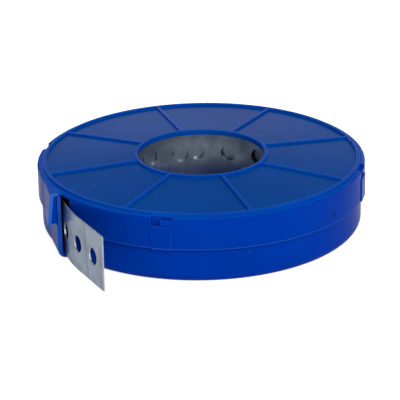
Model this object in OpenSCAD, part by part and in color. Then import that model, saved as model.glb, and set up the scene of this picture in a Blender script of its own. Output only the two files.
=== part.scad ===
// Perforated steel strap wound in a two-shell dispenser cassette.
// Z is the case axis, the case lies on z = 0 and the strap's tail runs out along -Y.

/* [Strap] */
// Width of the strap
strap_w = 20; // [16:0.5:24]
// Thickness of the strap
strap_t = 0.5; // [0.4:0.05:0.7]
// Diameter of the holes punched along the strap
hole_d = 6.2; // [4:0.1:8]
// Spacing of the holes along the strap
hole_pitch = 12.5; // [10:0.5:16]
// Distance from the strap's inner end to the middle of its first hole
inner_hole_start = 5.4; // [4.5:0.1:8]
// Distance from the strap's outer end to the middle of its first hole
tail_hole_start = 8; // [5:0.1:10]

/* [Coil] */
// Radius of the coil's eye
eye_r = 38.4; // [30:0.2:44]
// Gap between the tightly wound turns
turn_gap = 0.02; // [0.01:0.01:0.06]
// Gap between the two loose turns around the eye
loose_gap = 0.35; // [0.2:0.05:0.45]
// Angle of the strap's inner end around the case axis
inner_end_angle = 66.7; // [40:0.1:90]
// Depth of the groove between the slit edges of two turns
edge_groove = 0.15; // [0.05:0.05:0.3]
// Depth of the holes that show in the solid part of the coil
pocket_depth = 1; // [0.6:0.1:2]

/* [Tail] */
// Straight run of the strap along the outlet
guide_run = 21.4; // [16:0.1:26]
// Radius of the bend where the strap leaves the outlet
tail_bend_r = 70; // [50:1:120]
// Length of the flat tail after the bend
tail_run = 20; // [14:0.1:40]

/* [Case] */
// Outer radius of the lower shell
case_r = 58.7; // [55:0.1:66]
// Wall thickness of the lower shell
wall = 1.6; // [1.4:0.1:2]
// Depth of the rebate in the lower shell's wall that the skirt laps over
lap = 0.4; // [0.3:0.05:0.6]
// Thickness of the lower shell's floor
floor_t = 1.3; // [1.1:0.1:1.6]
// Thickness of the upper shell's top plate
top_t = 1; // [0.9:0.1:1.6]
// Rise of the top plate from its outer ring to the hub
crown = 1; // [0.5:0.1:2]
// Wall thickness of the upper shell's skirt
skirt_t = 1.45; // [1.2:0.05:1.8]
// Height of the seam, where the skirt ends
seam_z = 12.7; // [9:0.1:16]
// Radius of the hub opening through both shells
bore_r = 23.2; // [16:0.2:27]
// Rounding of the lower shell's bottom edge
bottom_edge = 2.9; // [2:0.1:3.2]
// Rounding of the skirt's shoulder
shoulder_edge = 0.8; // [0.4:0.1:0.8]

/* [Fits] */
// Gap between the lower shell and the skirt around it
skirt_clear = 0.15; // [0.1:0.05:0.3]
// Gap between the skirt's lower edge and the step of the rebate
seam_gap = 0.15; // [0.1:0.05:0.3]
// Gap between the coil and the wall around it
coil_clear = 1.4; // [0.8:0.1:2]
// Room above the strap, below the top plate
head_room = 2; // [1:0.1:3]
// Gap between the lower shell's rim and the top plate
rim_clear = 0.1; // [0.1:0.05:0.4]

/* [Top pattern] */
// Height of the rings above the top plate
ring_h = 0.85; // [0.7:0.05:1.2]
// How far the ribs lie below the rings
rib_drop = 0.1; // [0.05:0.05:0.2]
// Width of the outer ring and of the ring around the hub
ring_w = 1.4; // [1.2:0.1:2.4]
// Width of the ledge between the outer ring and the skirt's face
ledge_w = 1.9; // [1.8:0.05:2.4]
// Width of a rib
rib_w = 1.4; // [1:0.1:2]
// Number of ribs
rib_count = 8; // [4:1:12]
// Angle of the first rib
rib_phase = -10.35; // [-20:0.05:0]
// Rounding of the upper edges of rings and ribs
relief_edge = 0.3; // [0.1:0.05:0.4]

/* [Clips] */
// Number of snap clips around the case
clip_count = 4; // [2:1:4]
// Angle of the first clip
clip_phase = 49; // [40:0.5:60]
// Width of a clip's tab on the skirt
tab_w = 7.2; // [6.5:0.1:9]
// How far a tab stands out from the skirt
tab_out = 0.3; // [0.2:0.05:0.6]
// How far a tab reaches below the skirt's edge
tab_drop = 0.3; // [0.2:0.05:0.6]
// Height of the window above a tab, which is open through the ledge
window_h = 3.3; // [2.8:0.1:4]
// How far the window is wider than the tab on each side
window_side = 0.1; // [0.05:0.05:0.3]
// Depth of the window
window_depth = 1.65; // [1.6:0.05:1.7]
// Width of a hook on the lower shell
hook_w = 3.9; // [3:0.1:4.4]
// Gap between a hook and the side of its window
hook_side = 0.2; // [0.1:0.05:1.5]
// How far a hook's face lies behind the skirt's face
hook_back = 0.05; // [0.05:0.05:0.3]
// Size of the ramp at a hook's upper edge
hook_ramp = 0.3; // [0.2:0.05:0.6]
// Gap between a hook and the window's lower edge
hook_clear = 0.1; // [0.05:0.05:0.2]

/* [Outlet] */
// Angle at which the outlet's straight wall leaves the round wall
outlet_angle = 167; // [160:0.5:172]
// Angle around the case over which the round wall is open
outlet_span = 25.2; // [22:0.2:32]
// Angle by which the straight wall turns off the round wall
lip_angle = 7.5; // [6.5:0.5:9]
// Angle by which the upper shell's lip leans out at its end
lip_lean = 7; // [4:0.5:10]
// Angle by which the upper shell's lip turns out from the lower one
lip_turn = 2; // [1:0.5:3]
// Length of the lower shell's straight lip
lower_lip = 21.5; // [18:0.1:24]
// Length of the upper shell's straight lip
upper_lip = 23; // [20:0.1:25]

/* [Hidden] */
$fn = 180;
// Overlap that lets a cut run past a face
past = 1;

// Radii and heights of the case
wall_in = case_r - wall;
lap_r = case_r - lap;
skirt_in = lap_r + skirt_clear;
skirt_r = skirt_in + skirt_t;
skirt_mid_r = skirt_in + skirt_t / 2;
plate_z = floor_t + strap_w + head_room;
top_z = plate_z + top_t;
rim_z = plate_z - rim_clear;
lap_z = seam_z - seam_gap;

// Crowned top plate, into which the feet of its rings and ribs are sunk
hub_ring_r = bore_r + ring_w;
crown_r = skirt_r - ledge_w - ring_w;
crown_slope = atan(crown / (crown_r - hub_ring_r));
foot_sink = top_t / 2;
rib_in = (crown_r - bore_r - ring_w / 2) / cos(crown_slope);

// Clips
window_w = tab_w + 2 * window_side;
window_z = top_z - window_h;
window_r = skirt_r - window_depth;

// Outlet lips, tucked in from the round walls and set a little lower
lip_tuck = case_r * (1 - cos(lip_angle));
lip_drop = 0.05;
lip_overlap = 2;
lip_root_r = crown_r - lip_overlap;
lip_inset = 0.1;
lip_in_d = skirt_in - lip_tuck + lip_inset;
lip_start = sqrt(pow(skirt_in + lip_inset, 2) - pow(lip_in_d, 2));
lip_slices = 8;
lip_corners = 4;
mouth_turn = 1.1 * lip_angle;

// Coil, with its turns spaced by the strap's thickness and the gap
coil_r = wall_in - coil_clear;
turn_pitch = strap_t + turn_gap;
loose_pitch = strap_t + loose_gap;
joint_step = 0.02;
joint_turn = 3;
body_in = eye_r + loose_pitch - joint_step;
groove_in = body_in + 2 * loose_pitch;
groove_count = floor((coil_r - turn_pitch - groove_in) / turn_pitch);
strap_mid_z = floor_t + strap_w / 2;
hole_clear = 0.75 * loose_gap;

// Tail, bent back until it runs along -Y
tail_d = coil_r - turn_gap / 2 - strap_t / 2;
tail_root = 0.5;
bend_angle = 180 - outlet_angle;
bend_steps = 10;
bend_len = tail_bend_r * bend_angle * PI / 180;
bend_x = tail_d - tail_bend_r;
flat_hole_y = tail_run - tail_hole_start;
free_len = tail_run + bend_len + guide_run;
free_holes = floor((free_len - tail_hole_start - hole_d) / hole_pitch);

// Section of a raised strip with rounded upper edges, standing on the X axis
module relief_section(w, h) {
  square([w, h - relief_edge]);
  translate([relief_edge, 0]) square([w - 2 * relief_edge, h]);
  for (x = [relief_edge, w - relief_edge])
    translate([x, h - relief_edge]) circle(relief_edge);
}

// Places its children at each clip
module at_clips() {
  for (k = [0 : clip_count - 1]) rotate(clip_phase + k * 360 / clip_count) children();
}

// Outlet frame: X points out of the straight wall and Y runs along it to the mouth
module at_outlet() {
  rotate(outlet_angle) children();
}

// Opening in a round wall at the outlet, with the section to cut given as a child
module mouth_cut() {
  rotate(outlet_angle + mouth_turn) rotate_extrude(angle = outlet_span - mouth_turn) children();
}

// Straight lip of a shell, turned out by an angle, with the shell's section given as a child
module at_lip(length, turn = 0) {
  rotate(-turn) at_outlet() translate([-lip_tuck, -past, 0]) run_along(length + past) children();
}

// What is cut from a corner to round it, with the arc's centre at the origin
module round_cut(r) {
  difference() {
    square(r + past);
    circle(r);
  }
}

// Straight length of a section, along Y from the origin
module run_along(length) {
  translate([0, length, 0]) rotate([90, 0, 0]) linear_extrude(length) children();
}

// Lower shell: floor, round wall, outlet lip and snap hooks
module lower_shell() {
  color("#0b46b0") {
    difference() {
      rotate_extrude() lower_section(bore_r);
      mouth_cut() translate([wall_in - past, floor_t]) square([wall + 2 * past, rim_z]);
    }
    at_lip(lower_lip) lower_section(hub_ring_r, lip_drop);
    at_clips() translate([0, window_w / 2 - hook_side - hook_w, 0]) run_along(hook_w) hook_section();
  }
}

// Section of the lower shell from a radius out to the wall's face, with the wall's steps lowered
module lower_section(from_r, drop = 0) {
  difference() {
    union() {
      translate([from_r, 0]) square([case_r - from_r, floor_t]);
      translate([wall_in, 0]) square([wall, lap_z - drop]);
      translate([wall_in, 0]) square([wall - lap, rim_z - drop]);
    }
    translate([case_r - bottom_edge, bottom_edge]) mirror([0, 1]) round_cut(bottom_edge);
  }
}

// Hook with a flat catch below and a small ramp above, rooted inside the wall
module hook_section() {
  root = lap_r - (wall - lap) / 2;
  tip = skirt_r - hook_back;
  catch_z = window_z + hook_clear;
  hook_z = rim_z - lip_drop;
  polygon([
    [root, catch_z], [tip, catch_z], [tip, hook_z - hook_ramp], [tip - hook_ramp, hook_z], [root, hook_z]
  ]);
}

// Upper shell: ribbed top plate, skirt, clip tabs and the outlet's roof and lip
module upper_shell() {
  color("#0d4cba") difference() {
    union() {
      difference() {
        rotate_extrude() upper_section();
        mouth_cut() translate([skirt_in - past, 0])
          square([skirt_t + 2 * past, plate_z + lip_drop]);
      }
      translate([0, 0, -lip_drop]) at_lip(upper_lip, lip_turn) roof_section(lip_root_r);
      leaning_lip();
      ribs();
      at_clips() clip_tab();
    }
    at_clips() clip_window();
  }
}

// Section of the upper shell: flat roof, skirt, crowned plate and the two rings
module upper_section() {
  lap_over = crown_r + ring_w / 2;
  roof_section(crown_r);
  translate([skirt_in, seam_z]) square([skirt_t, plate_z + (top_t - shoulder_edge) / 2 - seam_z]);
  polygon([
    [bore_r, plate_z + crown], [hub_ring_r, plate_z + crown], [crown_r, plate_z], [lap_over, plate_z],
    [lap_over, top_z], [crown_r, top_z], [hub_ring_r, top_z + crown], [bore_r, top_z + crown]
  ]);
  translate([bore_r, top_z + crown - foot_sink]) relief_section(ring_w, ring_h + foot_sink);
  translate([crown_r, top_z - foot_sink]) relief_section(ring_w, ring_h + foot_sink);
}

// Section of the flat part of the top plate, from a radius out to the rounded shoulder
module roof_section(from_r) {
  difference() {
    translate([from_r, plate_z]) square([skirt_r - from_r, top_t]);
    translate([skirt_r - shoulder_edge, top_z - shoulder_edge]) round_cut(shoulder_edge);
  }
}

// Skirt along the outlet, which starts inside the round one and leans out towards its end
module leaning_lip() {
  length = upper_lip - lip_drop - lip_start;
  lip_t = skirt_t - 2 * lip_inset;
  hang_z = plate_z + top_t / 3;
  low_z = seam_z - lip_drop;
  rotate(-lip_turn) at_outlet() translate([lip_in_d + lip_t, lip_start + length, hang_z])
    rotate([90, 0, 0])
      linear_extrude(length, twist = lip_lean, slices = lip_slices, segments = lip_corners)
        rotate(lip_lean) translate([-lip_t, low_z - hang_z]) square([lip_t, hang_z - low_z]);
}

// Ribs that run down the crowned plate from the hub's ring to the outer ring
module ribs() {
  for (k = [0 : rib_count - 1])
    rotate(rib_phase + k * 360 / rib_count)
      translate([crown_r, 0, top_z]) rotate([0, crown_slope, 0])
        translate([-rib_in, -rib_w / 2, -foot_sink])
          rotate([90, 0, 90]) linear_extrude(rib_in + ring_w / 2)
            relief_section(rib_w, ring_h - rib_drop + foot_sink);
}

// Flat tab on the skirt, cut off by the window above it
module clip_tab() {
  tab_z = seam_z - tab_drop;
  translate([skirt_mid_r, -tab_w / 2, tab_z])
    cube([skirt_r + tab_out - skirt_mid_r, tab_w, window_z + past - tab_z]);
}

// Window above a tab, open through the ledge
module clip_window() {
  translate([window_r, -window_w / 2, window_z])
    cube([skirt_r + tab_out + past - window_r, window_w, window_h + past]);
}

// Strap: turned coil, the loose first turn around its eye, and the tail
module strap() {
  color("#a9b0b8") difference() {
    union() {
      translate([0, 0, floor_t]) {
        coil_body();
        for (i = [0, 1]) at_half_turn(i)
          rotate_extrude(angle = 180 + i * joint_turn) translate([half_r(i), 0])
            square([strap_t, strap_w]);
      }
      tail();
    }
    for (i = [0 : 3]) half_turn_holes(i);
    tail_holes();
    outer_turn_holes();
  }
}

// Half turns wound out from the eye: each half is an arc, and the odd ones share a shifted centre
function half_r(i) = eye_r + i * loose_pitch / 2;
function half_mid(i) = half_r(i) + strap_t / 2;
function half_start(i) = i == 0 ? 0 : half_start(i - 1) + PI * half_mid(i - 1);

module at_half_turn(i) {
  rotate(inner_end_angle) translate([i % 2 == 0 ? 0 : loose_pitch / 2, 0, 0])
    rotate(180 * i) children();
}

// Holes of one half turn, spaced along the strap from its inner end
module half_turn_holes(i) {
  first = ceil((half_start(i) - inner_hole_start) / hole_pitch);
  last = ceil((half_start(i + 1) - inner_hole_start) / hole_pitch) - 1;
  depth = i < 2 ? strap_t + hole_clear / 3 : pocket_depth;
  for (k = [first : last]) {
    run = inner_hole_start + k * hole_pitch - half_start(i);
    at_half_turn(i) rotate(run / half_mid(i) * 180 / PI)
      translate([half_r(i) - hole_clear, 0, strap_mid_z])
        rotate([0, 90, 0]) cylinder(d = hole_d, h = depth + hole_clear);
  }
}

// Tightly wound part of the coil: its outside and its eye both step by one turn
module coil_body() {
  difference() {
    intersection() {
      rotate_extrude() coil_section();
      two_arc_disc(outlet_angle, coil_r - turn_pitch, turn_pitch);
    }
    translate([0, 0, -past]) two_arc_disc(inner_end_angle, body_in, loose_pitch, 2 * past);
  }
}

// Section of the coil, with a groove at each turn on both slit edges
module coil_section() {
  difference() {
    translate([body_in - past, 0]) square([coil_r + past - (body_in - past), strap_w]);
    for (k = [0 : groove_count], z = [0, strap_w])
      translate([groove_in + k * turn_pitch, z])
        polygon([[-edge_groove, 0], [0, edge_groove], [edge_groove, 0], [0, -edge_groove]]);
  }
}

// Disc whose edge is a spiral of two half circles that grows by one step in a turn
module two_arc_disc(start, r, step, extra = 0) {
  rotate(start) rotate_extrude(angle = 180) square([r, strap_w + extra]);
  rotate(start) translate([step / 2, 0, 0]) rotate(180)
    rotate_extrude(angle = 180) square([r + step / 2, strap_w + extra]);
}

// Tail: straight along the outlet's lip, then a bend, then flat
module tail() {
  at_outlet() translate([0, 0, floor_t]) linear_extrude(strap_w)
    polygon(concat(tail_side(strap_t / 2), reversed(tail_side(-strap_t / 2))));
}

// Side of the tail at an offset from its middle line, from the coil to the outer end
function tail_side(off) = concat(
  [[tail_d + off, -tail_root]],
  [for (i = [0 : bend_steps]) bend_point(tail_bend_r + off, i * bend_angle / bend_steps)],
  [bend_point(tail_bend_r + off, bend_angle) + tail_run * [-sin(bend_angle), cos(bend_angle)]]
);
function bend_point(r, a) = [bend_x + r * cos(a), guide_run + r * sin(a)];
function reversed(list) = [for (i = [len(list) - 1 : -1 : 0]) list[i]];

// Centre of the tail's bend
module at_bend() {
  at_outlet() translate([bend_x, guide_run, 0]) children();
}

module punch(h) {
  translate([0, 0, strap_mid_z]) rotate([0, 90, 0]) cylinder(d = hole_d, h = h, center = true);
}

// Holes from the strap's outer end back to where it leaves the coil
module tail_holes() {
  for (k = [0 : free_holes]) {
    y = flat_hole_y - k * hole_pitch;
    if (y >= 0)
      at_bend() rotate(bend_angle) translate([tail_bend_r, y, 0]) punch(2 * strap_t);
    else if (y >= -bend_len)
      at_bend() rotate(bend_angle + y / tail_bend_r * 180 / PI)
        translate([tail_bend_r, 0, 0]) punch(2 * strap_t);
    else
      at_outlet() translate([tail_d, guide_run + bend_len + y, 0]) punch(2 * strap_t);
  }
}

// Holes of the outermost turn, the last half of which is an arc about a shifted centre
module outer_turn_holes() {
  first_run = (free_holes + 1) * hole_pitch + tail_hole_start - free_len;
  arc_r = coil_r - turn_pitch / 2;
  half_len = PI * arc_r;
  for (run = [first_run : hole_pitch : 2 * half_len - hole_d])
    rotate(outlet_angle) translate([run < half_len ? turn_pitch / 2 : 0, 0, 0])
      rotate(-run / arc_r * 180 / PI) translate([arc_r, 0, 0]) punch(2 * strap_t);
}

lower_shell();
upper_shell();
strap();
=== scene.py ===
"""Studio scene of a perforated galvanised strap in its blue two-shell dispenser case.

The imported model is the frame. This script dresses its nodes, sets up the studio and places
the camera. Lengths are written in millimetres and turned to metres with MM.
"""

import logging
import math
from dataclasses import dataclass
from enum import Enum

import bpy
from mathutils import Matrix, Vector


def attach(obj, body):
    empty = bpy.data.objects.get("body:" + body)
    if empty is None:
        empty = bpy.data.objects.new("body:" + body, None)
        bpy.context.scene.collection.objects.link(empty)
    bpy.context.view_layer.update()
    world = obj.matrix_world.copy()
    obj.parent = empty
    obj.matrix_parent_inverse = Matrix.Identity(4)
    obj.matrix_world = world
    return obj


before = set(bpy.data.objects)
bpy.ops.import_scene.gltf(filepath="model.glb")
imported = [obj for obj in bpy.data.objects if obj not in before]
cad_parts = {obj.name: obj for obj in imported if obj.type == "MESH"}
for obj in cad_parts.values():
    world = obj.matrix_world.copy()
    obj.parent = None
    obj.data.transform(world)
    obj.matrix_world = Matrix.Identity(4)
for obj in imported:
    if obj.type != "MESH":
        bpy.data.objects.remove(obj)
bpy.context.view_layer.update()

MM = 0.001
IMAGE_SIDE = 400
EDGE_SAMPLES = 8
LOG = logging.getLogger("strap_case")

Socket = bpy.types.NodeSocket
Tree = bpy.types.NodeTree
Piece = bpy.types.Object
Span = tuple[float, float]
Spot = tuple[float, float, float]
Value = Socket | float | tuple


def linear(hex_colour: str) -> tuple[float, float, float, float]:
    """Turns an sRGB hex colour into a linear one.

    Args:
        hex_colour: Colour such as "#0a46b0".

    Returns:
        Linear red, green, blue and an alpha of 1.
    """
    parts = [int(hex_colour[i : i + 2], 16) / 255 for i in (1, 3, 5)]
    curve = [c / 12.92 if c <= 0.04045 else ((c + 0.055) / 1.055) ** 2.4 for c in parts]
    return curve[0], curve[1], curve[2], 1.0


def millimetres(span: Span) -> Span:
    """Turns a span in millimetres to metres."""
    return span[0] * MM, span[1] * MM


def per_metre(size_mm: float) -> float:
    """Texture scale at which one feature of a pattern is size_mm across."""
    return 1 / (size_mm * MM)


def add_node(
    tree: Tree,
    kind: str,
    inputs: dict[str | int, Value] | list[Value] | None = None,
    output: str = "",
    **settings: str | int,
) -> Socket | None:
    """Adds one shader node with its settings and links.

    Args:
        tree: Node tree that takes the node.
        kind: Blender's name of the node's type, without "ShaderNode".
        inputs: Value or socket for each input, by name or in the node's own order.
        output: Name of the output to return, or nothing for the first one in use.
        settings: Attributes of the node.

    Returns:
        The output's socket, or None for a node that has no output.
    """
    node = tree.nodes.new("ShaderNode" + kind)
    for key, value in settings.items():
        setattr(node, key, value)
    named = inputs if isinstance(inputs, dict) else dict(enumerate(inputs or []))
    for key, value in named.items():
        if isinstance(value, Socket):
            tree.links.new(value, node.inputs[key])
        else:
            node.inputs[key].default_value = value
    usable = (socket for socket in node.outputs if socket.enabled and output in ("", socket.name))
    return next(usable, None)


def new_material(name: str) -> tuple[bpy.types.Material, Tree]:
    """Makes an empty node material.

    Args:
        name: Name of the material.

    Returns:
        The material and its node tree.
    """
    material = bpy.data.materials.new(name)
    material.use_nodes = True
    material.node_tree.nodes.clear()
    return material, material.node_tree


def layered(tree: Tree, base: Socket | tuple, layers: list[tuple[Socket, str]]) -> Socket:
    """Lays colours over a base, each where its mask says.

    Args:
        tree: Node tree of the material.
        base: Colour underneath.
        layers: Mask and sRGB hex colour of each layer, from the bottom up.

    Returns:
        The resulting colour's socket.
    """
    for mask, colour in layers:
        inputs = {"Factor": mask, "A": base, "B": linear(colour)}
        base = add_node(tree, "Mix", inputs, data_type="RGBA")
    return base


def radius(tree: Tree, place: Socket) -> Socket:
    """Adds the distance of a place from the coil's axis."""
    flat = add_node(tree, "VectorMath", [place, (1, 1, 0)], operation="MULTIPLY")
    return add_node(tree, "VectorMath", [flat], operation="LENGTH")


def near(tree: Tree, place: Socket, spot_mm: Spot, reach_mm: float) -> Socket:
    """Adds a mask that falls from 1 at a spot to 0 at a distance from it.

    Args:
        tree: Node tree of the material.
        place: Object coordinates.
        spot_mm: Place of the spot.
        reach_mm: Distance at which the mask ends.

    Returns:
        The mask's socket, from 0 to 1.
    """
    spot = tuple(value * MM for value in spot_mm)
    away = add_node(tree, "VectorMath", [place, spot], operation="DISTANCE")
    return add_node(tree, "MapRange", [away, 0.0, reach_mm * MM, 1.0, 0.0])


def window(tree: Tree, value: Socket, limits_mm: Span, soft_mm: float) -> Socket:
    """Adds a mask that is 1 between two limits and fades out beyond them.

    Args:
        tree: Node tree of the material.
        value: Socket to test, a length.
        limits_mm: Lower and upper limit.
        soft_mm: Half of the width over which the mask fades.

    Returns:
        The mask's socket, from 0 to 1.
    """
    low, high = limits_mm
    rise = millimetres((low - soft_mm, low + soft_mm))
    fall = millimetres((high - soft_mm, high + soft_mm))
    above = add_node(tree, "MapRange", [value, *rise])
    below = add_node(tree, "MapRange", [value, *fall, 1.0, 0.0])
    return add_node(tree, "Math", [above, below], operation="MULTIPLY")


@dataclass(frozen=True)
class MouldedPolypropylene:
    """Injection-moulded polypropylene: a deep, slightly waxy blue with a soft gloss.

    The raised top is painted brighter and the panels a little more teal than the sides: painted
    light for the upward faces. Outer edges carry painted highlights as fine pale lines, the
    mould leaves faint flow clouds, and there are short scuffs, a dark smudge and specks of dust.
    """

    name: str
    side: str = "#003cb0"
    # Raised top painted brighter and panels more teal than the side: painted light for upward
    # faces
    relief_lit_tone: str = "#0050bc"
    top: str = "#004aa2"
    # Pale colour of the painted highlights on edges, the lip's end and the seam
    pale: str = "#4488e6"
    gloss_tint: str = "#0c58d8"
    scuff: str = "#5a7cba"
    dust: str = "#8ea6d8"
    soot: str = "#001c48"
    roughness: float = 0.2
    ior: float = 1.49
    specular: float = 0.033
    # Flow clouds, and the range of their noise that darkens and lightens the blue
    cloud_mm: float = 24.0
    cloud_detail: float = 3.0
    cloud_spread: Span = (0.3, 0.7)
    cloud_tone: Span = (0.92, 1.08)
    # Heights between which the side turns to the raised top, painted in a lit tone
    shoulder_mm: Span = (24.0, 24.25)
    # Crowned panels (painted sheen): inner and outer radius, height there, and what counts as
    # raised above it
    panel_r_mm: Span = (24.6, 56.6)
    panel_z_mm: Span = (25.3, 24.3)
    panel_rise_mm: Span = (0.35, 0.15)
    panel_edge_mm: float = 0.2
    # Painted highlight along the skirt's lower edge, a fine pale line outside a radius
    seam_z_mm: Span = (12.72, 13.02)
    seam_r_mm: float = 59.75
    seam_soft_mm: float = 0.1
    seam_highlight_share: float = 0.24
    # Scuffs: length, width and height, turned in plan, at the peaks of their noise
    scuff_mm: Spot = (9.0, 0.35, 4.0)
    scuff_turn: float = 35.0
    scuff_peaks: Span = (0.7, 0.82)
    scuff_share: float = 0.15
    # Dust: spacing, grain as a share of it, and the place where there is most
    dust_mm: float = 6.5
    dust_grain: Span = (0.02, 0.06)
    dust_share: float = 0.6
    dust_chance: float = 0.8
    dusty_spot_mm: Spot = (-16.0, -57.7, 17.0)
    dusty_reach_mm: float = 12.0
    smudge_spot_mm: Spot = (22.9, -55.35, 16.3)
    smudge_reach_mm: float = 2.2
    smudge_share: float = 0.45
    # Painted highlights on outer edges: rounding, how far the normal turns there, and how open the
    # place is
    edge_mm: float = 0.22
    edge_turn: Span = (0.99, 0.8)
    edge_highlight_share: float = 0.55
    corner_mm: float = 1.5
    corner_open: Span = (0.5, 0.8)
    # Painted highlight on the outlet lip's end: direction it faces, least distance and run along
    # it
    lip_facing: float = 165.0
    lip_d_mm: float = 56.5
    lip_end_mm: Span = (22.7, 22.85)
    lip_highlight_share: float = 0.55

    def material(self) -> bpy.types.Material:
        """Builds the material.

        Returns:
            The finished material.
        """
        material, tree = new_material(self.name)
        place = add_node(tree, "TexCoord", output="Object")
        height = add_node(tree, "SeparateXYZ", [place], output="Z")
        shoulder = add_node(tree, "MapRange", [height, *millimetres(self.shoulder_mm)])
        panels = self.panels(tree, place, height)
        # Painted light: brighter raised top, and a painted sheen on the panels
        base = layered(tree, linear(self.side), [(shoulder, self.relief_lit_tone), (panels, self.top)])
        base = add_node(
            tree, "VectorMath", {0: base, "Scale": self.clouds(tree, place)}, operation="SCALE"
        )
        scuffs = self.scuffs(tree, place)
        rounded = add_node(tree, "Bevel", [self.edge_mm * MM], samples=EDGE_SAMPLES)
        marks = [
            (scuffs, self.scuff),
            (self.specks(tree, place), self.dust),
            (self.smudge(tree, place), self.soot),
            # Painted highlights on outer edges
            (self.edges(tree, rounded), self.pale),
            # Painted highlight on the lip's end
            (self.lip_end_highlight(tree, place), self.pale),
            # Painted highlight along the skirt's lower edge
            (self.seam_highlight(tree, place, height), self.pale),
        ]
        shader = add_node(
            tree,
            "BsdfPrincipled",
            {
                "Base Color": layered(tree, base, marks),
                "Roughness": add_node(tree, "Math", [scuffs, self.roughness], operation="ADD"),
                "Normal": rounded,
                "IOR": self.ior,
                "Specular IOR Level": self.specular,
                "Specular Tint": linear(self.gloss_tint),
            },
        )
        add_node(tree, "OutputMaterial", {"Surface": shader})
        return material

    def clouds(self, tree: Tree, place: Socket) -> Socket:
        """Adds the faint clouds that the flow of the plastic leaves.

        Args:
            tree: Node tree of the material.
            place: Object coordinates.

        Returns:
            The tone's socket, about 1.
        """
        cloud = add_node(
            tree,
            "TexNoise",
            {"Vector": place, "Scale": per_metre(self.cloud_mm), "Detail": self.cloud_detail},
        )
        return add_node(tree, "MapRange", [cloud, *self.cloud_spread, *self.cloud_tone])

    def panels(self, tree: Tree, place: Socket, height: Socket) -> Socket:
        """Adds the mask of the crowned plate between the rings and ribs, where the painted sheen
        goes.

        Args:
            tree: Node tree of the material.
            place: Object coordinates.
            height: Height of the place.

        Returns:
            The mask's socket, from 0 to 1.
        """
        reach = radius(tree, place)
        ends = (*millimetres(self.panel_r_mm), *millimetres(self.panel_z_mm))
        crown = add_node(tree, "MapRange", [reach, *ends])
        raised = add_node(tree, "Math", [height, crown], operation="SUBTRACT")
        low = add_node(tree, "MapRange", [raised, *millimetres(self.panel_rise_mm)])
        between = window(tree, reach, self.panel_r_mm, self.panel_edge_mm)
        return add_node(tree, "Math", [low, between], operation="MULTIPLY")

    def seam_highlight(self, tree: Tree, place: Socket, height: Socket) -> Socket:
        """Adds the mask of the painted highlight along the skirt's lower edge, a fine pale line.

        Args:
            tree: Node tree of the material.
            place: Object coordinates.
            height: Height of the place.

        Returns:
            The mask's socket, from 0 to seam_highlight_share.
        """
        line = window(tree, height, self.seam_z_mm, self.seam_soft_mm)
        reach = radius(tree, place)
        outside = add_node(tree, "Math", [reach, self.seam_r_mm * MM], operation="GREATER_THAN")
        edge = add_node(tree, "Math", [line, outside], operation="MULTIPLY")
        return add_node(tree, "Math", [edge, self.seam_highlight_share], operation="MULTIPLY")

    def lip_end_highlight(self, tree: Tree, place: Socket) -> Socket:
        """Adds the mask of the painted highlight on the lip's end, which makes it paler than the
        rest.

        Args:
            tree: Node tree of the material.
            place: Object coordinates.

        Returns:
            The mask's socket, from 0 to lip_highlight_share.
        """
        angle = math.radians(self.lip_facing)
        out = (math.cos(angle), math.sin(angle), 0)
        along = (-out[1], out[0], 0)
        reach = add_node(tree, "VectorMath", [place, out], operation="DOT_PRODUCT")
        beyond = add_node(tree, "Math", [reach, self.lip_d_mm * MM], operation="GREATER_THAN")
        run = add_node(tree, "VectorMath", [place, along], operation="DOT_PRODUCT")
        end = add_node(tree, "MapRange", [run, *millimetres(self.lip_end_mm), 0.0, self.lip_highlight_share])
        return add_node(tree, "Math", [beyond, end], operation="MULTIPLY")

    def edges(self, tree: Tree, rounded: Socket) -> Socket:
        """Adds the mask of painted highlights on outer edges.

        Args:
            tree: Node tree of the material.
            rounded: Normal with its edges rounded.

        Returns:
            The mask's socket, from 0 to edge_highlight_share, and 0 in inner corners.
        """
        facing = add_node(tree, "NewGeometry", output="Normal")
        turned = add_node(tree, "VectorMath", [rounded, facing], operation="DOT_PRODUCT")
        edge = add_node(tree, "MapRange", [turned, *self.edge_turn, 0.0, self.edge_highlight_share])
        reach = {"Distance": self.corner_mm * MM}
        open_air = add_node(tree, "AmbientOcclusion", reach, output="AO", samples=EDGE_SAMPLES)
        outer = add_node(tree, "MapRange", [open_air, *self.corner_open])
        return add_node(tree, "Math", [edge, outer], operation="MULTIPLY")

    def scuffs(self, tree: Tree, place: Socket) -> Socket:
        """Adds the mask of short pale scuffs.

        Args:
            tree: Node tree of the material.
            place: Object coordinates.

        Returns:
            The mask's socket, from 0 to scuff_share.
        """
        turned = add_node(
            tree,
            "Mapping",
            {
                "Vector": place,
                "Rotation": (0, 0, math.radians(self.scuff_turn)),
                "Scale": tuple(per_metre(size) for size in self.scuff_mm),
            },
        )
        lines = add_node(tree, "TexNoise", {"Vector": turned, "Scale": 1.0, "Detail": 1.0})
        return add_node(tree, "MapRange", [lines, *self.scuff_peaks, 0.0, self.scuff_share])

    def specks(self, tree: Tree, place: Socket) -> Socket:
        """Adds the mask of scattered dust specks.

        Args:
            tree: Node tree of the material.
            place: Object coordinates.

        Returns:
            The mask's socket, from 0 to dust_share.
        """
        inputs = {"Vector": place, "Scale": per_metre(self.dust_mm)}
        cells = add_node(tree, "TexVoronoi", inputs).node.outputs
        grain = [cells["Distance"], *self.dust_grain, self.dust_share, 0.0]
        speck = add_node(tree, "MapRange", grain)
        chance = add_node(tree, "SeparateColor", [cells["Color"]], output="Red")
        dusty = near(tree, place, self.dusty_spot_mm, self.dusty_reach_mm)
        likely = add_node(tree, "Math", [chance, dusty], operation="ADD")
        kept = add_node(tree, "Math", [likely, self.dust_chance], operation="GREATER_THAN")
        return add_node(tree, "Math", [speck, kept], operation="MULTIPLY")

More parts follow.
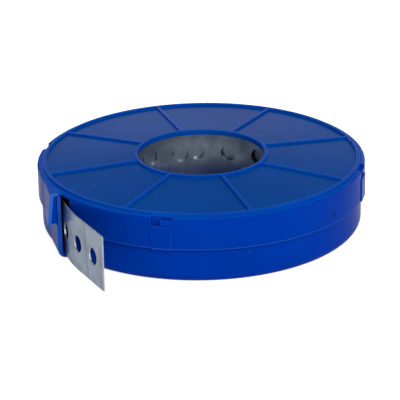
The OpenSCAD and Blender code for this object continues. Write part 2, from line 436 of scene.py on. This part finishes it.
    def smudge(self, tree: Tree, place: Socket) -> Socket:
        """Adds the mask of the dark smudge on the skirt."""
        spot = near(tree, place, self.smudge_spot_mm, self.smudge_reach_mm)
        return add_node(tree, "Math", [spot, self.smudge_share], operation="MULTIPLY")


@dataclass(frozen=True)
class GalvanisedSteel:
    """Hot-dip galvanised steel strip: grey zinc with soft spangles and a dull, cloudy film."""

    name: str
    zinc: str = "#a6b3c3"
    film: str = "#8a97a5"
    dull: str = "#95a2b0"
    crease_shade: str = "#5b6672"
    metallic: float = 0.92
    # Roughness of bare zinc and of the film
    roughness: Span = (0.25, 0.4)
    # Film: clouds with a share of spangles in them
    cloud_mm: float = 9.0
    cloud_detail: float = 4.0
    spangle_mm: float = 4.5
    spangle_share: float = 0.35
    film_spread: Span = (0.35, 0.65)
    # Fine dull flecks
    fleck_mm: float = 2.2
    fleck_detail: float = 6.0
    fleck_spread: Span = (0.3, 0.7)
    fleck_share: float = 0.3
    # Slight waves of the strip
    wave_mm: float = 14.0
    wave_depth_mm: float = 0.12
    # Painted shade along a real fold line across the tail: place, lean, half width and soft edge,
    # outside the coil
    crease_y_mm: float = -31.9
    crease_lean: float = 0.107
    crease_half_mm: float = 0.18
    crease_soft_mm: float = 0.09
    tail_r_mm: Span = (59.0, 60.0)

    def material(self) -> bpy.types.Material:
        """Builds the material.

        Returns:
            The finished material.
        """
        material, tree = new_material(self.name)
        place = add_node(tree, "TexCoord", output="Object")
        film = self.filmed(tree, place)
        layers = [
            (film, self.film),
            (self.flecks(tree, place), self.dull),
            # Painted shade along the fold across the tail
            (self.crease_shade_line(tree, place), self.crease_shade),
        ]
        waves = {"Vector": place, "Scale": per_metre(self.wave_mm), "Detail": 1.0}
        wave = add_node(tree, "TexNoise", waves)
        depth = {"Height": wave, "Distance": self.wave_depth_mm * MM}
        shader = add_node(
            tree,
            "BsdfPrincipled",
            {
                "Base Color": layered(tree, linear(self.zinc), layers),
                "Roughness": add_node(tree, "MapRange", [film, 0.0, 1.0, *self.roughness]),
                "Metallic": self.metallic,
                "Normal": add_node(tree, "Bump", depth),
            },
        )
        add_node(tree, "OutputMaterial", {"Surface": shader})
        return material

    def filmed(self, tree: Tree, place: Socket) -> Socket:
        """Adds the mask of the dull film, in clouds with soft spangles.

        Args:
            tree: Node tree of the material.
            place: Object coordinates.

        Returns:
            The mask's socket, from 0 to 1.
        """
        clouds = {"Vector": place, "Scale": per_metre(self.cloud_mm), "Detail": self.cloud_detail}
        cloud = add_node(tree, "TexNoise", clouds)
        cells = {"Vector": place, "Scale": per_metre(self.spangle_mm)}
        spangle = add_node(tree, "TexVoronoi", cells, output="Color", feature="SMOOTH_F1")
        tone = add_node(tree, "SeparateColor", [spangle], output="Red")
        mixed = {"Factor": self.spangle_share, "A": cloud, "B": tone}
        film = add_node(tree, "Mix", mixed, data_type="FLOAT")
        return add_node(tree, "MapRange", [film, *self.film_spread])

    def flecks(self, tree: Tree, place: Socket) -> Socket:
        """Adds the mask of fine dull flecks.

        Args:
            tree: Node tree of the material.
            place: Object coordinates.

        Returns:
            The mask's socket, from 0 to fleck_share.
        """
        grain = {"Vector": place, "Scale": per_metre(self.fleck_mm), "Detail": self.fleck_detail}
        fleck = add_node(tree, "TexNoise", grain)
        return add_node(tree, "MapRange", [fleck, *self.fleck_spread, 0.0, self.fleck_share])

    def crease_shade_line(self, tree: Tree, place: Socket) -> Socket:
        """Adds the mask of the painted shade along a real fold line across the tail.

        Args:
            tree: Node tree of the material.
            place: Object coordinates.

        Returns:
            The mask's socket, from 0 to 1.
        """
        split = add_node(tree, "SeparateXYZ", [place]).node.outputs
        lean = add_node(tree, "Math", [split["Z"], self.crease_lean], operation="MULTIPLY")
        across = add_node(tree, "Math", [split["Y"], lean], operation="SUBTRACT")
        limits = (self.crease_y_mm - self.crease_half_mm, self.crease_y_mm + self.crease_half_mm)
        line = window(tree, across, limits, self.crease_soft_mm)
        tail = add_node(tree, "MapRange", [radius(tree, place), *millimetres(self.tail_r_mm)])
        return add_node(tree, "Math", [line, tail], operation="MULTIPLY")


@dataclass(frozen=True)
class CutSteel:
    """Cut steel on slit edges, ends and hole walls: bright, with short dull patches.

    The patches are drawn coarser than the fine marks of a real cut, so that they show at all.
    """

    name: str
    bright: str = "#d8dee4"
    dull: str = "#b6bec6"
    # Roughness of bright and of dull steel
    roughness: Span = (0.36, 0.5)
    patch_mm: float = 1.2
    patch_detail: float = 2.0
    patch_spread: Span = (0.35, 0.65)

    def material(self) -> bpy.types.Material:
        """Builds the material.

        Returns:
            The finished material.
        """
        material, tree = new_material(self.name)
        place = add_node(tree, "TexCoord", output="Object")
        grain = {"Vector": place, "Scale": per_metre(self.patch_mm), "Detail": self.patch_detail}
        patch = add_node(tree, "TexNoise", grain)
        marks = add_node(tree, "MapRange", [patch, *self.patch_spread])
        shader = add_node(
            tree,
            "BsdfPrincipled",
            {
                "Base Color": layered(tree, linear(self.bright), [(marks, self.dull)]),
                "Roughness": add_node(tree, "MapRange", [marks, 0.0, 1.0, *self.roughness]),
                "Metallic": 1.0,
            },
        )
        add_node(tree, "OutputMaterial", {"Surface": shader})
        return material


@dataclass(frozen=True)
class PhotoCamera:
    """Camera at the photograph's view, found from the case's ellipses."""

    elevation: float = 22.462
    turn: float = -27.5
    roll: float = 0.927
    focal_px: float = 1869.46
    distance_mm: float = 694.14
    centre_px: Span = (202.061, 216.505)
    lift_mm: float = 0.4
    sensor_mm: float = 36.0

    def axes(self) -> Matrix:
        """Works out the camera's axes.

        Returns:
            Matrix whose columns are the camera's right, up and backward directions.
        """
        lift = math.radians(self.elevation)
        right = Vector((1, 0, 0))
        ahead = Vector((0, math.cos(lift), -math.sin(lift)))
        up = right.cross(ahead)
        half = IMAGE_SIDE / 2
        aside = (self.centre_px[0] - half) / self.focal_px
        above = (half - self.centre_px[1]) / self.focal_px
        aim = Vector((aside, above, 1)).normalized()
        swing = Vector((0, 0, 1)).rotation_difference(aim).to_matrix()
        rolled = Matrix.Rotation(math.radians(self.roll), 3, "Z")
        rows = swing @ rolled @ Matrix((right, up, ahead))
        turned = Matrix.Rotation(math.radians(self.turn), 3, "Z")
        return turned @ Matrix((rows[0], rows[1], -rows[2])).transposed()

    def build(self) -> Piece:
        """Places the camera and makes it the scene's own.

        Returns:
            The camera's object.
        """
        lens = bpy.data.cameras.new("photo_camera")
        lens.sensor_width = self.sensor_mm
        lens.lens = self.sensor_mm * self.focal_px / IMAGE_SIDE
        camera = bpy.data.objects.new("photo_camera", lens)
        bpy.context.scene.collection.objects.link(camera)
        lift = math.radians(self.elevation)
        back = Vector((0, -math.cos(lift), math.sin(lift))) * self.distance_mm
        spot = Matrix.Rotation(math.radians(self.turn), 3, "Z") @ back
        spot.z += self.lift_mm
        camera.matrix_world = Matrix.Translation(spot * MM) @ self.axes().to_4x4()
        bpy.context.scene.camera = camera
        return camera


@dataclass(frozen=True)
class Lamp:
    """Soft square lamp, placed as the camera sees it: X to the right, Y away and Z up."""

    name: str
    spot_mm: Spot
    side_mm: float
    watts: float

    def hang(self, turn: float) -> None:
        """Hangs the lamp so that it faces the case.

        Args:
            turn: Camera's turn about the upright axis, in degrees.
        """
        light = bpy.data.lights.new(self.name, "AREA")
        light.size = self.side_mm * MM
        light.energy = self.watts
        lamp = bpy.data.objects.new(self.name, light)
        bpy.context.scene.collection.objects.link(lamp)
        spot = Matrix.Rotation(math.radians(turn), 3, "Z") @ Vector(self.spot_mm) * MM
        lamp.location = spot
        lamp.rotation_euler = (-spot).to_track_quat("-Z", "Y").to_euler()


@dataclass(frozen=True)
class Studio:
    """Pale floor, white surroundings under a dim ceiling, and soft lamps."""

    turn: float = PhotoCamera.turn
    floor_mm: float = 6000.0
    floor_gap_mm: float = 0.02
    floor_colour: str = "#f2f2f2"
    # Glow of the floor for the camera, and in reflections
    floor_glow: float = 0.75
    floor_mirrored: float = 0.12
    # Walls and ceiling in reflections, and the height at which one turns to the other
    walls: float = 0.9
    ceiling: float = 0.02
    ceiling_height: Span = (0.31, 0.39)
    ambient: float = 0.25
    lamps: tuple[Lamp, ...] = (
        Lamp("key", (330.0, -900.0, 680.0), 700.0, 8.0),
        Lamp("back", (-300.0, 500.0, 900.0), 700.0, 2.0),
    )

    def build(self) -> None:
        """Makes the floor, the world and the lamps."""
        self.build_floor()
        self.build_world()
        for lamp in self.lamps:
            lamp.hang(self.turn)

    def build_floor(self) -> None:
        """Makes the floor, which glows a little for the camera and keeps the shadow."""
        bpy.ops.object.select_all(action="DESELECT")
        bpy.ops.mesh.primitive_plane_add(
            size=self.floor_mm * MM, location=(0, 0, -self.floor_gap_mm * MM)
        )
        floor = bpy.context.active_object
        floor.name = "floor"
        material, tree = new_material("studio_floor")
        matt = add_node(tree, "BsdfDiffuse", {"Color": linear(self.floor_colour)})
        path = add_node(tree, "LightPath").node.outputs
        rays = [path["Is Camera Ray"], path["Is Transmission Ray"]]
        seen = add_node(tree, "Math", rays, operation="MAXIMUM")
        shown = add_node(tree, "Math", [seen, self.floor_glow], operation="MULTIPLY")
        gloss = [path["Is Glossy Ray"], self.floor_mirrored]
        mirrored = add_node(tree, "Math", gloss, operation="MULTIPLY")
        glow = add_node(tree, "Math", [shown, mirrored], operation="MAXIMUM")
        light = add_node(tree, "Emission", {"Strength": glow})
        add_node(tree, "OutputMaterial", {"Surface": add_node(tree, "AddShader", [matt, light])})
        floor.data.materials.append(material)

    def build_world(self) -> None:
        """Makes surroundings that look white, with a dim ceiling, and light at a plain level."""
        world = bpy.data.worlds.new("studio")
        bpy.context.scene.world = world
        world.use_nodes = True
        tree = world.node_tree
        tree.nodes.clear()
        path = add_node(tree, "LightPath").node.outputs
        aim = add_node(tree, "TexCoord", output="Generated")
        height = add_node(tree, "SeparateXYZ", [aim], output="Z")
        fade = [height, *self.ceiling_height, self.walls, self.ceiling]
        walls = add_node(tree, "MapRange", fade)
        mirrored = add_node(tree, "Math", [path["Is Glossy Ray"], walls], operation="MULTIPLY")
        rays = [path["Is Camera Ray"], path["Is Transmission Ray"]]
        seen = add_node(tree, "Math", rays, operation="MAXIMUM")
        shown = add_node(tree, "Math", [seen, mirrored], operation="MAXIMUM")
        lit = add_node(tree, "Math", [path["Is Diffuse Ray"], self.ambient], operation="MULTIPLY")
        strength = add_node(tree, "Math", [shown, lit], operation="MAXIMUM")
        sky = add_node(tree, "Background", {"Color": (1, 1, 1, 1), "Strength": strength})
        add_node(tree, "OutputWorld", {"Surface": sky})


class Node(Enum):
    """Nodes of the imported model."""

    LOWER = "lower_shell"
    UPPER = "upper_shell"
    STRAP = "strap"


@dataclass
class Shell:
    """One moulded shell of the case."""

    node: Node
    finish: MouldedPolypropylene

    def dress(self) -> Piece:
        """Gives the shell its finish.

        Returns:
            The shell's object.
        """
        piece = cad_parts[self.node.value]
        piece.data.materials.clear()
        piece.data.materials.append(self.finish.material())
        return piece


@dataclass
class LipWedge:
    """Guessed wedge between the two lips at the mouth, where the photograph shows solid blue.

    Distances out of the lip are near and far pairs, first at its bottom edge, then at its top.
    """

    finish: MouldedPolypropylene
    facing: float = 165.0
    span_mm: Span = (15.0, 22.6)
    height_mm: Span = (12.8, 23.15)
    start_mm: tuple[Span, Span] = ((57.38, 58.65), (57.38, 58.0))
    end_mm: tuple[Span, Span] = ((57.1, 59.3), (57.1, 58.0))
    cube_mm: float = 2.0
    bevel_mm: float = 0.12
    bevel_segments: int = 2

    def corner(self, x: int, y: int, z: int) -> Vector:
        """Works out one corner of the wedge.

        Args:
            x: 0 for the side near the strap, 1 for the far one.
            y: 0 for the start of the wedge, 1 for its end at the mouth.
            z: 0 for the bottom, 1 for the top.

        Returns:
            The corner's place.
        """
        reach = (self.start_mm, self.end_mm)[y][z][x]
        turned = Matrix.Rotation(math.radians(self.facing), 3, "Z")
        return turned @ Vector((reach, self.span_mm[y], self.height_mm[z])) * MM

    def build(self) -> Piece:
        """Shapes the wedge from a cube, one corner at a time.

        Returns:
            The wedge's object.
        """
        bpy.ops.object.select_all(action="DESELECT")
        bpy.ops.mesh.primitive_cube_add(size=self.cube_mm * MM)
        piece = bpy.context.active_object
        piece.name = "lip_wedge"
        spots = [tuple(vertex.co) for vertex in piece.data.vertices]
        bpy.ops.object.mode_set(mode="EDIT")
        bpy.ops.mesh.select_mode(type="VERT")
        for index, spot in enumerate(spots):
            bpy.ops.mesh.select_all(action="DESELECT")
            bpy.ops.object.mode_set(mode="OBJECT")
            piece.data.vertices[index].select = True
            bpy.ops.object.mode_set(mode="EDIT")
            goal = self.corner(*(int(value > 0) for value in spot))
            bpy.ops.transform.translate(value=goal - Vector(spot))
        bpy.ops.mesh.select_all(action="SELECT")
        bpy.ops.mesh.bevel(offset=self.bevel_mm * MM, segments=self.bevel_segments)
        bpy.ops.mesh.normals_make_consistent(inside=False)
        bpy.ops.object.mode_set(mode="OBJECT")
        piece.data.materials.append(self.finish.material())
        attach(piece, "root")
        return piece


@dataclass
class WoundStrap:
    """The strap: wound coil, loose inner turn and tail."""

    finish: GalvanisedSteel
    cut: CutSteel
    coil_mm: float = 56.2
    tail_facing: float = 174.0
    # Least share of a flat face's normal that lies along the strip's thickness
    flat_share: float = 0.6

    def dress(self) -> Piece:
        """Gives the strap's faces their finish and its cut edges theirs.

        Returns:
            The strap's object.
        """
        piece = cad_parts[Node.STRAP.value]
        piece.data.materials.clear()
        for finish in (self.finish, self.cut):
            piece.data.materials.append(finish.material())
        for polygon in piece.data.polygons:
            polygon.material_index = int(self.is_cut(polygon.center, polygon.normal))
        return piece

    def is_cut(self, centre: Vector, normal: Vector) -> bool:
        """Tells a cut edge, end or hole wall from the strip's flat faces.

        Args:
            centre: Middle of a polygon.
            normal: Normal of the polygon.

        Returns:
            Whether the polygon doesn't face along the strip's thickness.
        """
        around = math.atan2(centre.y, centre.x)
        if math.hypot(centre.x, centre.y) > self.coil_mm * MM:
            around = math.radians(self.tail_facing)
        facing = abs(normal.x * math.cos(around) + normal.y * math.sin(around))
        return facing < self.flat_share


def main() -> None:
    """Builds the studio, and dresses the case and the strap."""
    logging.basicConfig(level=logging.INFO)
    bpy.context.scene.view_settings.view_transform = "Standard"
    PhotoCamera().build()
    Studio().build()
    # The lower shell's lip end takes a weaker painted highlight
    lower = MouldedPolypropylene(
        "polypropylene_lower", lip_facing=167.0, lip_end_mm=(21.25, 21.4), lip_highlight_share=0.25
    )
    for part in (
        Shell(Node.LOWER, lower),
        Shell(Node.UPPER, MouldedPolypropylene("polypropylene_upper")),
        WoundStrap(GalvanisedSteel("galvanised_steel"), CutSteel("cut_steel")),
    ):
        LOG.info("dressed %s", part.dress().name)
    LOG.info("built %s", LipWedge(MouldedPolypropylene("polypropylene_lip")).build().name)


if __name__ == "__main__":
    main()
